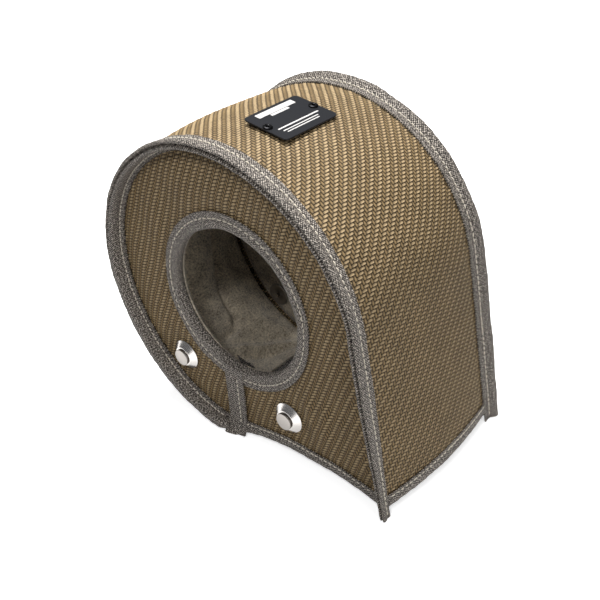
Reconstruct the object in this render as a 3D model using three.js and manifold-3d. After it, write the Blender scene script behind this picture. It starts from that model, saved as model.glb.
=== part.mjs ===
import * as THREE from 'three';
import { mergeVertices } from 'three/addons/utils/BufferGeometryUtils.js';
import Module from 'manifold-3d';

const wasm = await Module();
wasm.setup();

// Insulating blanket for the turbine housing of a turbocharger, in millimetres.
// It stands on its open underside: X runs towards the pointed side, Y from the front
// panel to the back panel, Z up. Both panels are alike and are made as mirror images.

// Body
const bodyRadius = 92;
const tipReach = 108;
const lipSpan = 112.6;
const bandEndHeight = 4;
const bandBulge = 4.5;
const hemRise = 6.5;

// Walls, from the outside in
const coverThickness = 1.2;
const fillThickness = 9;
const linerThickness = 2;
const layerGap = 0.4;

// Twill of the cover cloth
const twillPitch = 4.7;
const twillDepth = 0.5;
const panelTwillLean = THREE.MathUtils.degToRad(21.5);

// Binding tape
const tapeThickness = 0.8;
const lipHeight = 8.6;
const hemTapeWidth = 8.6;
const footWidth = 3.5;

// Opening for the outlet, and the slit below it
const holeX = 3.7;
const holeZ = 91.2;
const holeRadius = 43;
const holeTapeWidth = 12;
const rimRound = 1.2;
const slitX = -1.5;
const slitTapeWidth = 15;
const overFlapThickness = 5.4;

// Lacing anchors
const anchorPlaces = { left: [-42.7, 37.2], right: [38.5, 30.4] };
const anchorFlangeRadius = 9.4;
const anchorFlangeEdge = 0.5;
const anchorConeHeight = 3.3;
const anchorConeTopRadius = 5.9;
const anchorNeckRadius = 4.5;
const anchorNeckHeight = 0.6;
const anchorCapRadius = 5.5;
const anchorCapThickness = 1.1;
const anchorPinRadius = 1.35;
const anchorPinTail = 1.2;
const anchorWasherRadius = 7.6;
const anchorWasherThickness = 0.8;

// Name plate and its tubular rivets
const tagAngle = THREE.MathUtils.degToRad(81.4);
const tagFromPanel = 21.2;
const tagLength = 40;
const tagWidth = 29;
const tagThickness = 0.8;
const tagCorner = 3;
const rivetMargin = 2.8;
const rivetHeadRadius = 2.6;
const rivetHeadHeight = 0.9;
const rivetShankRadius = 1.5;
const rivetBoreRadius = 0.9;
const rivetBoreDepth = 1.6;
const rivetWasherRadius = 4.5;
const rivetWasherThickness = 0.6;

// Smoothness
const arcSteps = 28;
const sideSteps = 6;
const twillSteps = 5;
const bandSteps = 4;
const roundSteps = 24;
const turnedSteps = 12;

// Worked out from the sizes above
const lean = Math.PI / 2 - 2 * Math.atan(bodyRadius / tipReach);
const slitHalf = slitTapeWidth / 2 + layerGap;
const endAngle = -2 * Math.PI + lean;
const foldY = lipSpan / 2;
const tapeGap = tapeThickness + layerGap;
const coverInset = tapeGap;
const fillInset = coverInset + coverThickness + layerGap;
const linerInset = fillInset + fillThickness + layerGap;
const wallInset = linerInset + linerThickness;
const flangeInset = fillInset;
const panelInset = flangeInset + coverThickness;
const lipThickness = panelInset + tapeGap;
const panelFace = foldY - lipHeight;
const panelFill = panelFace - coverThickness - layerGap;
const panelLiner = panelFill - fillThickness - layerGap;
const panelBack = panelLiner - linerThickness;
const tapeFront = panelFace + tapeGap;
const tapeBack = panelBack - tapeGap;
const footInset = lipThickness + footWidth;
const tipInset = wallInset + tapeGap + layerGap;
const panelStart = -Math.PI / 2 - Math.asin((slitHalf - slitX) / (bodyRadius - footInset));
const bandStart = -Math.PI / 2 - Math.asin((slitHalf + tapeGap - slitX) / (bodyRadius - tipInset));
const arcLength = (bandStart - endAngle) * bodyRadius;
const sideLength = (bodyRadius * (1 + Math.sin(lean)) - bandEndHeight) / Math.cos(lean);
const bandLength = arcLength + sideLength;
const facetAngle = arcLength / bodyRadius / arcSteps;
const facetSag = bodyRadius * (1 - Math.cos(facetAngle / 2));
const clothReach = 3 * bodyRadius;
const overcut = coverThickness;

// Cloths, tape and metals
function finish(color, roughness, metalness) {
  return new THREE.MeshStandardMaterial({ color, roughness, metalness });
}
const coverCloth = finish(0xa89268, 0.8, 0.05);
const fillWool = finish(0xd8d2c4, 0.95, 0);
const linerFleece = finish(0x6b655c, 0.95, 0);
const bindingTape = finish(0x6e6863, 0.85, 0);
const stainless = finish(0xc9c9c9, 0.3, 1);
const blackAluminium = finish(0x2b2c30, 0.45, 0.6);

const blanket = new THREE.Group();

function addPiece(name, geometry, material, parent = blanket) {
  const mesh = new THREE.Mesh(geometry, material);
  mesh.name = name;
  parent.add(mesh);
  return mesh;
}

// Solids for cutting and joining
function solidOf(geometry) {
  const bare = geometry.clone();
  bare.deleteAttribute('normal');
  bare.deleteAttribute('uv');
  const merged = mergeVertices(bare, 1e-4);
  const corners = merged.index.array;
  const kept = [];
  for (let i = 0; i < corners.length; i += 3) {
    const [a, b, c] = [corners[i], corners[i + 1], corners[i + 2]];
    if (a !== b && b !== c && c !== a) kept.push(a, b, c);
  }
  const vertProperties = Float32Array.from(merged.attributes.position.array);
  const triVerts = Uint32Array.from(kept);
  return new wasm.Manifold(new wasm.Mesh({ numProp: 3, vertProperties, triVerts }));
}

function geometryOf(solid) {
  const mesh = solid.getMesh();
  const geometry = new THREE.BufferGeometry();
  geometry.setAttribute('position', new THREE.BufferAttribute(mesh.vertProperties, 3));
  geometry.setIndex(new THREE.BufferAttribute(mesh.triVerts, 1));
  const flat = geometry.toNonIndexed();
  flat.computeVertexNormals();
  return flat;
}

function joined(solids) {
  return solids.reduce((all, next) => all.add(next));
}

// A flat shape drawn in X and Z, thickened from one Y to another
function plate(points, fromY, toY) {
  const shape = new THREE.Shape(points);
  const geometry = new THREE.ExtrudeGeometry(shape, { depth: toY - fromY, bevelEnabled: false });
  geometry.rotateX(Math.PI / 2);
  geometry.translate(0, toY, 0);
  return solidOf(geometry);
}

function block(x0, x1, y0, y1, z0, z1) {
  const geometry = new THREE.BoxGeometry(x1 - x0, y1 - y0, z1 - z0);
  geometry.translate((x0 + x1) / 2, (y0 + y1) / 2, (z0 + z1) / 2);
  return solidOf(geometry);
}

function rod(radius, x, z, fromY, toY, steps = roundSteps) {
  const geometry = new THREE.CylinderGeometry(radius, radius, toY - fromY, steps);
  geometry.translate(x, (fromY + toY) / 2, z);
  return solidOf(geometry);
}

// The front pieces are drawn once, facing -Y, and mirrored for the back
function mirrored(solid) {
  return solid.mirror([0, 1, 0]);
}

// The side outline, an inset in from the fold of the tape, from the slit over the top to the tip
function outline(inset, endHeight) {
  const radius = bodyRadius - inset;
  const points = [];
  for (let i = 0; i <= arcSteps; i++) {
    const angle = THREE.MathUtils.lerp(panelStart, endAngle, i / arcSteps);
    points.push(new THREE.Vector2(radius * Math.cos(angle), bodyRadius + radius * Math.sin(angle)));
  }
  const last = points.at(-1);
  const drop = last.y - endHeight;
  points.push(new THREE.Vector2(last.x + drop * Math.tan(lean), endHeight));
  return points;
}

function sideX(inset, height) {
  return outline(inset, height).at(-1).x;
}

// A wall that follows the outline
function ribbon(inset, thickness, endHeight, fromY, toY) {
  const inner = outline(inset + thickness, endHeight).reverse();
  return plate([...outline(inset, endHeight), ...inner], fromY, toY);
}

// The free lower edge between slit and tip is drawn up a little in its middle
function hemHeight(x) {
  const t = THREE.MathUtils.clamp((x - slitX) / (tipReach - slitX), 0, 1);
  return 4 * hemRise * t * (1 - t);
}

function hemLine(fromX, toX, above) {
  const points = [];
  for (let i = 0; i <= sideSteps; i++) {
    const x = THREE.MathUtils.lerp(fromX, toX, i / sideSteps);
    points.push(new THREE.Vector2(x, hemHeight(x) + above));
  }
  return points;
}

// Room for the taped rim of the opening
function rimRoom(fromY, toY) {
  return rod(holeRadius + tapeGap, holeX, holeZ, fromY - overcut, toY + overcut);
}

// One layer of the front panel: its outline, less the opening and the slit
function panelLayer(inset, leftEdge, rightEdge, fromY, toY) {
  const edge = outline(inset, bandEndHeight + tapeGap);
  const corner = sideX(tipInset, 0);
  const floor = hemLine(corner, slitX, tapeGap);
  const foot = new THREE.Vector2(corner, bandEndHeight + tapeGap);
  const sheet = plate([...edge, foot, ...floor], fromY, toY);
  const slot = block(slitX + leftEdge, slitX + rightEdge, fromY - overcut, toY + overcut, -overcut, holeZ);
  return sheet.subtract(rimRoom(fromY, toY)).subtract(slot);
}

// A thinned edge of the filling that reaches under the slit tape
function tongue(leftEdge, rightEdge, fromY, toY) {
  const strip = block(slitX + leftEdge, slitX + rightEdge, fromY, toY, tapeGap + layerGap, holeZ);
  return strip.subtract(rimRoom(fromY, toY));
}

function pinHoles(solid, fromY, toY) {
  return Object.values(anchorPlaces).reduce((left, [x, z]) => {
    const bore = anchorPinRadius + layerGap;
    return left.subtract(rod(bore, x, z, fromY - overcut, toY + overcut, turnedSteps));
  }, solid);
}

// Twilled cloth: a plate whose outer face has slanting ridges
function twillPlate(fromY, toY) {
  const count = Math.ceil(clothReach / twillPitch);
  const points = [];
  for (let i = -count; i < count; i++) {
    points.push(new THREE.Vector2(i * twillPitch / 2, fromY + (i % 2 ? twillDepth : 0)));
  }
  points.push(new THREE.Vector2(count * twillPitch / 2, toY));
  points.push(new THREE.Vector2(-count * twillPitch / 2, toY));
  const shape = new THREE.Shape(points);
  const geometry = new THREE.ExtrudeGeometry(shape, { depth: 2 * clothReach, bevelEnabled: false });
  geometry.translate(0, 0, -clothReach);
  geometry.rotateY(panelTwillLean);
  geometry.translate(0, 0, bodyRadius);
  return solidOf(geometry);
}

const overEdge = slitTapeWidth / 2 - tapeGap;

function frontCover() {
  const [fromY, toY] = [-panelFace, -panelFace + coverThickness];
  const sheet = panelLayer(panelInset - coverThickness / 2, -slitHalf, -overEdge, fromY, toY);
  const flange = ribbon(flangeInset, coverThickness, bandEndHeight, -foldY + tapeGap, toY);
  return pinHoles(sheet.intersect(twillPlate(fromY, toY)).add(flange), fromY, toY);
}

function frontFill() {
  const [fromY, toY] = [-panelFill, -panelFill + fillThickness];
  const sheet = panelLayer(panelInset + layerGap, -slitHalf, slitHalf, fromY, toY);
  const split = -tapeFront + overFlapThickness;
  const over = tongue(-overEdge, slitHalf, fromY, split - tapeGap);
  const under = tongue(-slitHalf, overEdge, split + layerGap + tapeGap, toY);
  return pinHoles(joined([sheet, over, under]), fromY, toY);
}

function frontLiner() {
  const [fromY, toY] = [-panelLiner, -panelLiner + linerThickness];
  return pinHoles(panelLayer(linerInset, overEdge, slitHalf, fromY, toY), fromY, toY);
}

// Tape folded over the standing seam between panel and band, with its foot on the panel
function frontLip() {
  const legY = -tapeFront;
  const footEnd = hemHeight(sideX(footInset, 0)) + hemTapeWidth + layerGap;
  return joined([
    ribbon(0, tapeThickness, 0, -foldY, -panelFace),
    ribbon(0, lipThickness, 0, -foldY, -foldY + tapeThickness),
    ribbon(lipThickness - tapeThickness, tapeThickness, 0, -foldY, legY + tapeThickness),
    ribbon(lipThickness - tapeThickness, footWidth, footEnd, legY, legY + tapeThickness),
  ]);
}

function frontHoleBinding() {
  const [outer, inner] = [holeRadius, holeRadius + tapeThickness];
  const reach = holeRadius + holeTapeWidth;
  const profile = [
    [reach, -tapeFront], [outer + rimRound, -tapeFront], [outer, -tapeFront + rimRound],
    [outer, -tapeBack - rimRound], [outer + rimRound, -tapeBack], [reach, -tapeBack],
    [reach, -tapeBack - tapeThickness], [inner, -tapeBack - tapeThickness],
    [inner, -tapeFront + tapeThickness], [reach, -tapeFront + tapeThickness],
    [reach, -tapeFront],
  ].map(([r, y]) => new THREE.Vector2(r, y)).reverse();
  const geometry = new THREE.LatheGeometry(profile, arcSteps);
  geometry.translate(holeX, 0, holeZ);
  const gap = block(slitX - slitHalf, slitX + slitHalf, -foldY, 0, 0, holeZ);
  return solidOf(geometry).subtract(gap);
}

// The right flap's edge lies in front of the left flap's edge, each bound by its own tape
function slitTape(openSide, fromY, toY) {
  const half = slitTapeWidth / 2;
  const [x0, x1] = [slitX - half, slitX + half];
  const bar = block(x0, x1, fromY, toY, 0, holeZ);
  const inX = openSide > 0 ? [x0 + tapeThickness, x1 + overcut] : [x0 - overcut, x1 - tapeThickness];
  const room = block(...inX, fromY + tapeThickness, toY - tapeThickness, tapeThickness, holeZ + overcut);
  return bar.subtract(room).subtract(rod(holeRadius, holeX, holeZ, fromY - overcut, toY + overcut));
}

function frontSlitOver() {
  return slitTape(1, -tapeFront, -tapeFront + overFlapThickness);
}

function frontSlitUnder() {
  return slitTape(-1, -tapeFront + overFlapThickness + layerGap, -tapeBack);
}

function frontHem() {
  const start = slitX + slitHalf;
  const leg = (inset, height, fromY, toY) => {
    const lower = hemLine(start, sideX(inset, 0), 0);
    const upper = hemLine(sideX(inset, height + hemRise), start, height);
    return plate([...lower, ...upper], fromY, toY);
  };
  return joined([
    leg(lipThickness + layerGap, hemTapeWidth, -tapeFront, -tapeFront + tapeThickness),
    leg(tipInset, tapeThickness, -tapeFront, -tapeBack),
    leg(tipInset, hemTapeWidth, -tapeBack - tapeThickness, -tapeBack),
  ]);
}

// A point of the band: s along the outline, y across, inset in from the fold of the tape
function bandPoint(s, y, inset, floor = bandEndHeight) {
  const across = Math.min(Math.abs(y) / panelFace, 1);
  const share = THREE.MathUtils.clamp(s / bandLength, 0, 1);
  const radius = bodyRadius - inset + bandBulge * share * (1 - across * across);
  const angle = Math.max(bandStart - s / bodyRadius, endAngle);
  const run = Math.max(s - arcLength, 0);
  const x = radius * Math.cos(angle) + run * Math.sin(lean);
  const z = bodyRadius + radius * Math.sin(angle) - run * Math.cos(lean);
  const lift = run > 0 ? Math.max(floor - z, 0) : 0;
  return new THREE.Vector3(x - lift * Math.tan(lean), y, z + lift);
}

// Triangles between two rows of corners, which needn't have the same count
function bridge(points, faces, first, second) {
  const gap = (a, b) => (b === undefined || a === undefined ? Infinity : points[a].distanceTo(points[b]));
  let [i, j] = [0, 0];
  while (i < first.length - 1 || j < second.length - 1) {
    if (gap(first[i + 1], second[j]) <= gap(first[i], second[j + 1])) {
      faces.push(first[i], second[j], first[i + 1]);
      i += 1;
    } else {
      faces.push(first[i], second[j], second[j + 1]);
      j += 1;
    }
  }
}

// A closed sheet between an outer and an inner grid of points
function closedSheet(outer, inner) {
  const points = [];
  const rowsOf = (grid) => grid.map((row) => row.map((point) => points.push(point) - 1));
  const [top, under] = [rowsOf(outer), rowsOf(inner)];
  const faces = [];
  for (let i = 1; i < top.length; i++) bridge(points, faces, top[i - 1], top[i]);
  for (let i = 1; i < under.length; i++) bridge(points, faces, under[i], under[i - 1]);
  const side = (grid, k) => grid.map((row) => row.at(k));
  bridge(points, faces, top.at(-1), under.at(-1));
  bridge(points, faces, under[0], top[0]);
  bridge(points, faces, side(top, 0), side(under, 0));
  bridge(points, faces, side(under, -1), side(top, -1));
  const geometry = new THREE.BufferGeometry().setFromPoints(points);
  geometry.setIndex(faces);
  return solidOf(geometry);
}

function stations(halfWidth, steps) {
  return Array.from({ length: steps + 1 }, (_, k) => {
    return THREE.MathUtils.lerp(-halfWidth, halfWidth, k / steps);
  });
}

function bandGrid(inset, across) {
  return Array.from({ length: arcSteps + sideSteps + 1 }, (_, i) => {
    const onArc = Math.min(i, arcSteps) / arcSteps * arcLength;
    const s = onArc + Math.max(i - arcSteps, 0) / sideSteps * (sideLength + wallInset);
    return across.map((y) => bandPoint(s, y, inset));
  });
}

function bandLayer(inset, thickness, halfWidth) {
  const across = stations(halfWidth, bandSteps);
  return closedSheet(bandGrid(inset, across), bandGrid(inset + thickness, across));
}

// The band's twill runs at 45 degrees across it
function bandCover() {
  const half = foldY - tapeGap;
  const step = twillPitch * Math.SQRT1_2;
  const count = 2 * Math.ceil((bandLength + 2 * half) / (2 * step));
  const across = [-half, ...stations(panelFace, twillSteps), half];
  const row = (i) => {
    return across.map((y) => {
      const s = i * step - half - y;
      const inCloth = s > 0 && s < bandLength - layerGap;
      const valley = inCloth && i % 2 ? twillDepth : 0;
      return bandPoint(THREE.MathUtils.clamp(s, 0, bandLength), y, coverInset + valley);
    });
  };
  const outer = Array.from({ length: count + 1 }, (_, i) => row(i));
  const innerAcross = [-half, ...stations(panelFace, bandSteps), half];
  return closedSheet(outer, bandGrid(coverInset + coverThickness, innerAcross));
}

// Tape around an end of the band: two legs and the web that closes the end
function tapeSheet(insets, places, reach) {
  const grid = (inset) => {
    const across = stations(reach, bandSteps);
    return places.map(([s, floor]) => across.map((y) => bandPoint(s, y, inset, floor)));
  };
  return closedSheet(grid(insets[0]), grid(insets[1]));
}

function bandBinding(web, legs) {
  const outer = coverInset - tapeGap;
  const inner = wallInset + tapeGap;
  const outerReach = panelFace - layerGap;
  const innerReach = tapeBack - layerGap;
  return joined([
    tapeSheet([outer, outer + tapeThickness], legs, outerReach),
    tapeSheet([outer, flangeInset - layerGap / 2], web, outerReach),
    tapeSheet([outer, inner], web, innerReach),
    tapeSheet([inner - tapeThickness, inner], legs, innerReach),
  ]);
}

function slitEndBinding() {
  const web = [[-tapeGap, 0], [-layerGap, 0]];
  const legs = [[-tapeGap, 0], [hemTapeWidth - tapeGap, 0]];
  return bandBinding(web, legs);
}

function tipEndBinding() {
  const below = bandLength + wallInset;
  const mouth = [below, bandEndHeight - tapeGap];
  const web = [[below, bandEndHeight - layerGap], mouth];
  const legs = [[bandLength - hemTapeWidth, bandEndHeight], mouth];
  return bandBinding(web, legs);
}

// Lacing anchor: a coned flange with a grooved cap outside, and a pin through the quilt
function turned(profile) {
  const points = profile.map(([r, y]) => new THREE.Vector2(r, y));
  return new THREE.LatheGeometry(points, turnedSteps);
}

function anchorPost() {
  const seat = layerGap;
  const coneTop = seat + anchorConeHeight;
  const capBase = coneTop + anchorNeckHeight;
  const capTop = capBase + anchorCapThickness;
  const tail = panelBack - panelFace - layerGap - anchorWasherThickness - anchorPinTail;
  return turned([
    [0, tail], [anchorPinRadius, tail], [anchorPinRadius, seat], [anchorFlangeRadius, seat],
    [anchorFlangeRadius, seat + anchorFlangeEdge], [anchorConeTopRadius, coneTop],
    [anchorNeckRadius, coneTop], [anchorNeckRadius, capBase], [anchorCapRadius, capBase],
    [anchorCapRadius, capTop - anchorFlangeEdge / 2],
    [anchorCapRadius - anchorFlangeEdge / 2, capTop], [0, capTop],
  ]);
}

function ring(innerRadius, outerRadius, fromY, toY) {
  return turned([
    [innerRadius, fromY], [outerRadius, fromY], [outerRadius, toY], [innerRadius, toY],
    [innerRadius, fromY],
  ]);
}

function anchorWasher() {
  const outside = panelBack - panelFace - layerGap;
  const bore = anchorPinRadius + layerGap;
  return ring(bore, anchorWasherRadius, outside - anchorWasherThickness, outside);
}

// Name plate: a stiff plate that touches the band along its crest, with two rivets
const tagS = (bandStart - tagAngle + 2 * Math.PI) * bodyRadius;
const tagY = tagFromPanel + tagLength / 2 - panelFace;
const rivetReach = tagLength / 2 - rivetMargin;
const rivetPlaces = [-rivetReach, rivetReach];

function bandRadius(s, y, inset) {
  const point = bandPoint(s, y, inset);
  return Math.hypot(point.x, point.z - bodyRadius);
}

const tagSeat = bandRadius(tagS, 0, coverInset) + layerGap;
const tagGroup = new THREE.Group();
tagGroup.position.set(tagSeat * Math.cos(tagAngle), tagY, bodyRadius + tagSeat * Math.sin(tagAngle));
tagGroup.rotation.y = Math.PI / 2 - tagAngle;
tagGroup.updateMatrixWorld();
blanket.add(tagGroup);

// How deep below the plate's underside a washer has its seat, against the back of the cloth
function washerSeat(y) {
  const edges = [y - rivetWasherRadius, y + rivetWasherRadius];
  const lowest = edges.map((edge) => bandRadius(tagS, tagY + edge, coverInset + coverThickness));
  return tagSeat - Math.min(...lowest) + layerGap + facetSag;
}

function tagPlate() {
  const [w, l, r] = [tagWidth / 2, tagLength / 2, tagCorner];
  const shape = new THREE.Shape();
  shape.moveTo(-w + r, -l).lineTo(w - r, -l).absarc(w - r, -l + r, r, -Math.PI / 2, 0);
  shape.lineTo(w, l - r).absarc(w - r, l - r, r, 0, Math.PI / 2);
  shape.lineTo(-w + r, l).absarc(-w + r, l - r, r, Math.PI / 2, Math.PI);
  shape.lineTo(-w, -l + r).absarc(-w + r, -l + r, r, Math.PI, 1.5 * Math.PI);
  for (const y of rivetPlaces) {
    shape.holes.push(new THREE.Path().absarc(0, y, rivetShankRadius + layerGap, 0, 2 * Math.PI));
  }
  const settings = { depth: tagThickness, bevelEnabled: false, curveSegments: 6 };
  return new THREE.ExtrudeGeometry(shape, settings);
}

function rivet(y) {
  const seat = tagThickness + layerGap;
  const top = seat + rivetHeadHeight;
  const upset = -washerSeat(y) - rivetWasherThickness - layerGap;
  const flare = rivetShankRadius + 2 * layerGap;
  return turned([
    [0, upset - rivetHeadHeight], [flare, upset - rivetHeadHeight], [flare, upset],
    [rivetShankRadius, upset], [rivetShankRadius, seat], [rivetHeadRadius, seat],
    [rivetHeadRadius - layerGap, top], [rivetBoreRadius, top],
    [rivetBoreRadius, top - rivetBoreDepth], [0, top - rivetBoreDepth],
  ]).rotateX(Math.PI / 2).translate(0, y, 0);
}

function rivetWasher(y) {
  const top = -washerSeat(y);
  const bore = rivetShankRadius + layerGap;
  const washer = ring(bore, rivetWasherRadius, top - rivetWasherThickness, top);
  return washer.rotateX(Math.PI / 2).translate(0, y, 0);
}

function tagDrill(radius, depth) {
  return joined(rivetPlaces.map((y) => {
    const drill = new THREE.CylinderGeometry(radius, radius, 2 * depth, roundSteps);
    return solidOf(drill.rotateX(Math.PI / 2).translate(0, y, 0).applyMatrix4(tagGroup.matrixWorld));
  }));
}

function drilledCover() {
  return bandCover().subtract(tagDrill(rivetShankRadius + layerGap, fillInset));
}

function recessedFill() {
  const deepest = washerSeat(rivetPlaces[0]) + rivetWasherThickness + rivetHeadHeight;
  const recess = tagDrill(rivetWasherRadius + layerGap, deepest + 2 * layerGap);
  return bandLayer(fillInset, fillThickness, panelLiner).subtract(recess);
}

// The two panels and their tape
const frontPieces = {
  cover: [frontCover(), coverCloth],
  insulation: [frontFill(), fillWool],
  liner: [frontLiner(), linerFleece],
  lip_binding: [frontLip(), bindingTape],
  opening_binding: [frontHoleBinding(), bindingTape],
  slit_binding_over: [frontSlitOver(), bindingTape],
  slit_binding_under: [frontSlitUnder(), bindingTape],
  hem_binding: [frontHem(), bindingTape],
};
for (const [name, [solid, material]] of Object.entries(frontPieces)) {
  addPiece(`front_${name}`, geometryOf(solid), material);
  addPiece(`back_${name}`, geometryOf(mirrored(solid)), material);
}

// The band between them
addPiece('band_cover', geometryOf(drilledCover()), coverCloth);
addPiece('band_insulation', geometryOf(recessedFill()), fillWool);
const linerHalf = panelBack - layerGap;
addPiece('band_liner', geometryOf(bandLayer(linerInset, linerThickness, linerHalf)), linerFleece);
addPiece('band_slit_end_binding', geometryOf(slitEndBinding()), bindingTape);
addPiece('band_tip_end_binding', geometryOf(tipEndBinding()), bindingTape);

// Metal parts
for (const [panel, turn] of [['front', Math.PI], ['back', 0]]) {
  for (const [side, [x, z]] of Object.entries(anchorPlaces)) {
    const post = addPiece(`${panel}_${side}_anchor_post`, anchorPost(), stainless);
    const washer = addPiece(`${panel}_${side}_anchor_washer`, anchorWasher(), stainless);
    for (const piece of [post, washer]) {
      piece.position.set(x, turn ? -panelFace : panelFace, z);
      piece.rotation.z = turn;
    }
  }
}
addPiece('tag_plate', tagPlate(), blackAluminium, tagGroup);
for (const [side, y] of [['front', rivetPlaces[0]], ['back', rivetPlaces[1]]]) {
  addPiece(`tag_${side}_rivet`, rivet(y), blackAluminium, tagGroup);
  addPiece(`tag_${side}_washer`, rivetWasher(y), stainless, tagGroup);
}

// The origin lies under the middle of the whole blanket
const extent = new THREE.Box3().setFromObject(blanket);
blanket.position.x = -(extent.min.x + extent.max.x) / 2;

export default blanket;
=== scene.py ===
import math

import bpy
import numpy as np
from mathutils import Matrix, Vector


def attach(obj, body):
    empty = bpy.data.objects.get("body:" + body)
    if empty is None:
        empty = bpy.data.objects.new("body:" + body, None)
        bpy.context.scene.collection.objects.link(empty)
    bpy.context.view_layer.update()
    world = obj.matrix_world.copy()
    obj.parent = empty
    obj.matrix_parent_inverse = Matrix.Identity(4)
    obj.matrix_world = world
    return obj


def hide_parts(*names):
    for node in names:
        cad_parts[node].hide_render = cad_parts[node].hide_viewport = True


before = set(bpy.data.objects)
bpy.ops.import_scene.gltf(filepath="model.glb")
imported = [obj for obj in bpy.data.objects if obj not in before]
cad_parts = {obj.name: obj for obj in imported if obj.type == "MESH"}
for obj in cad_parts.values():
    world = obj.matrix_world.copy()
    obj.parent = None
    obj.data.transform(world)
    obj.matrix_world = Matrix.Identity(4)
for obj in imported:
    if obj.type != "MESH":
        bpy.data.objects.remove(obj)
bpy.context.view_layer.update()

# Insulating blanket for a turbocharger's turbine housing, standing on its open underside.
# Sizes are in millimetres and become metres when a mesh is made. In the side view the
# body's circle has its centre at x = 0, and SHIFT moves the whole into the shared frame.


# Band cover: one length of woven cloth laid round the rim and sewn to both panels. Its inner
# corner at the slit lies BAND_EDGE left of the middle, and it stops TIP_GAP short of the tip.
MM = 0.001
RADIUS = 92.0
INNER_RADIUS = 76.2
TIP_X = 108.0
FACE_Y = 47.7
BAND_EDGE = 10.3
TIP_GAP = 4.0
BAND_SWELL = 4.5
SHIFT = -10.03
LEAN = math.pi / 2 - 2 * math.atan(RADIUS / TIP_X)
BAND_START = -math.pi / 2 - math.asin(BAND_EDGE / INNER_RADIUS)
END_ANGLE = -2 * math.pi + LEAN
ARC = (BAND_START - END_ANGLE) * RADIUS
DROP = RADIUS * (1 + math.sin(LEAN)) / math.cos(LEAN)
BAND_LENGTH = ARC + DROP - TIP_GAP / math.cos(LEAN)


# Smooth waves of about one wavelength across a surface, mostly between -1 and 1
def ripple(a, b, wavelength, seed):
    rng = np.random.default_rng(seed)
    total = 0.0
    for _ in range(5):
        turn, phase = rng.uniform(0, 2 * math.pi, 2)
        k = 2 * math.pi / wavelength * rng.uniform(0.6, 1.4)
        total = total + np.sin(k * (a * math.cos(turn) + b * math.sin(turn)) + phase)
    return total / 2.5


# A point on the band's outline: s along it from the slit, inset in from the outer face
def outline(s, inset):
    angle = np.maximum(BAND_START - s / RADIUS, END_ANGLE)
    run = np.maximum(s - ARC, 0)
    r = RADIUS - inset
    x = r * np.cos(angle) + run * math.sin(LEAN)
    z = RADIUS + r * np.sin(angle) - run * math.cos(LEAN)
    return x, z


# The band swells outwards between its seams, more so towards the tip
def swell(s, y):
    across = np.clip(np.abs(y) / FACE_Y, 0, 1)
    return BAND_SWELL * np.clip(s / BAND_LENGTH, 0, 1) * (1 - across**2)


# A point of the band: s along it, y across it, inset in from the swollen outer face
def on_band(s, y, inset):
    s, y, inset = np.broadcast_arrays(s, y, inset)
    x, z = outline(s, inset - swell(s, y))
    return np.stack([x, y, z], -1)


# Makes one object of points in millimetres and puts it on the part's only body
def finish(name, points, faces, material, uv=None, smooth=True):
    mesh = bpy.data.meshes.new(name)
    points = points.reshape(-1, 3) * MM + np.array([SHIFT * MM, 0, 0])
    mesh.from_pydata(points.tolist(), [], [list(f) for f in faces])
    if uv is not None:
        corners = np.zeros(len(mesh.loops), np.int32)
        mesh.loops.foreach_get("vertex_index", corners)
        layer = mesh.uv_layers.new(name="cloth")
        layer.data.foreach_set("uv", uv.reshape(-1, 2)[corners].ravel())
    mesh.polygons.foreach_set("use_smooth", [smooth] * len(mesh.polygons))
    mesh.materials.append(material)
    obj = bpy.data.objects.new(name, mesh)
    bpy.context.scene.collection.objects.link(obj)
    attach(obj, "root")
    return obj


# Quads of a grid of points, closed into a tube if wrap is set
def quads(rows, cols, wrap=False, start=0):
    i, j = np.meshgrid(np.arange(rows - 1), np.arange(cols if wrap else cols - 1), indexing="ij")
    k = (j + 1) % cols
    a = start + np.stack([i * cols + j, i * cols + k, (i + 1) * cols + k, (i + 1) * cols + j], -1)
    return a.reshape(-1, 4)


# Adds one node: settings are its properties, links its inputs by name or number
def add(tree, kind, links=(), **settings):
    node = tree.nodes.new("ShaderNode" + kind)
    for key, value in settings.items():
        setattr(node, key, value)
    items = links.items() if isinstance(links, dict) else enumerate(links)
    for key, value in items:
        if isinstance(value, bpy.types.Node):
            value = value.outputs[0]
        if isinstance(value, bpy.types.NodeSocket):
            tree.links.new(value, node.inputs[key])
        elif value is not None:
            node.inputs[key].default_value = value
    return node


# sRGB hex code to a linear colour
def linear(code):
    parts = [int(code[i:i + 2], 16) / 255 for i in (0, 2, 4)]
    return (*[c / 12.92 if c <= 0.04045 else ((c + 0.055) / 1.055) ** 2.4 for c in parts], 1)


def new_material(name, **values):
    material = bpy.data.materials.new(name)
    material.use_nodes = True
    tree = material.node_tree
    tree.nodes.clear()
    shader = add(tree, "BsdfPrincipled", {k.replace("_", " "): v for k, v in values.items()})
    add(tree, "OutputMaterial", [shader])
    return material, tree, shader


# Basalt-fibre cloth, a 2/2 twill of flat untwisted yarns. One yarn's floats are painted lighter as a
# sheen where they would catch the lamp, the crossing yarns darker, the gaps near black as painted
# shade. "cloth" holds millimetres across and along the lighter yarns, so the pattern repeats every
# four yarns.
YARN = 1.65
WEAVE_DEPTH = 0.6


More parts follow.
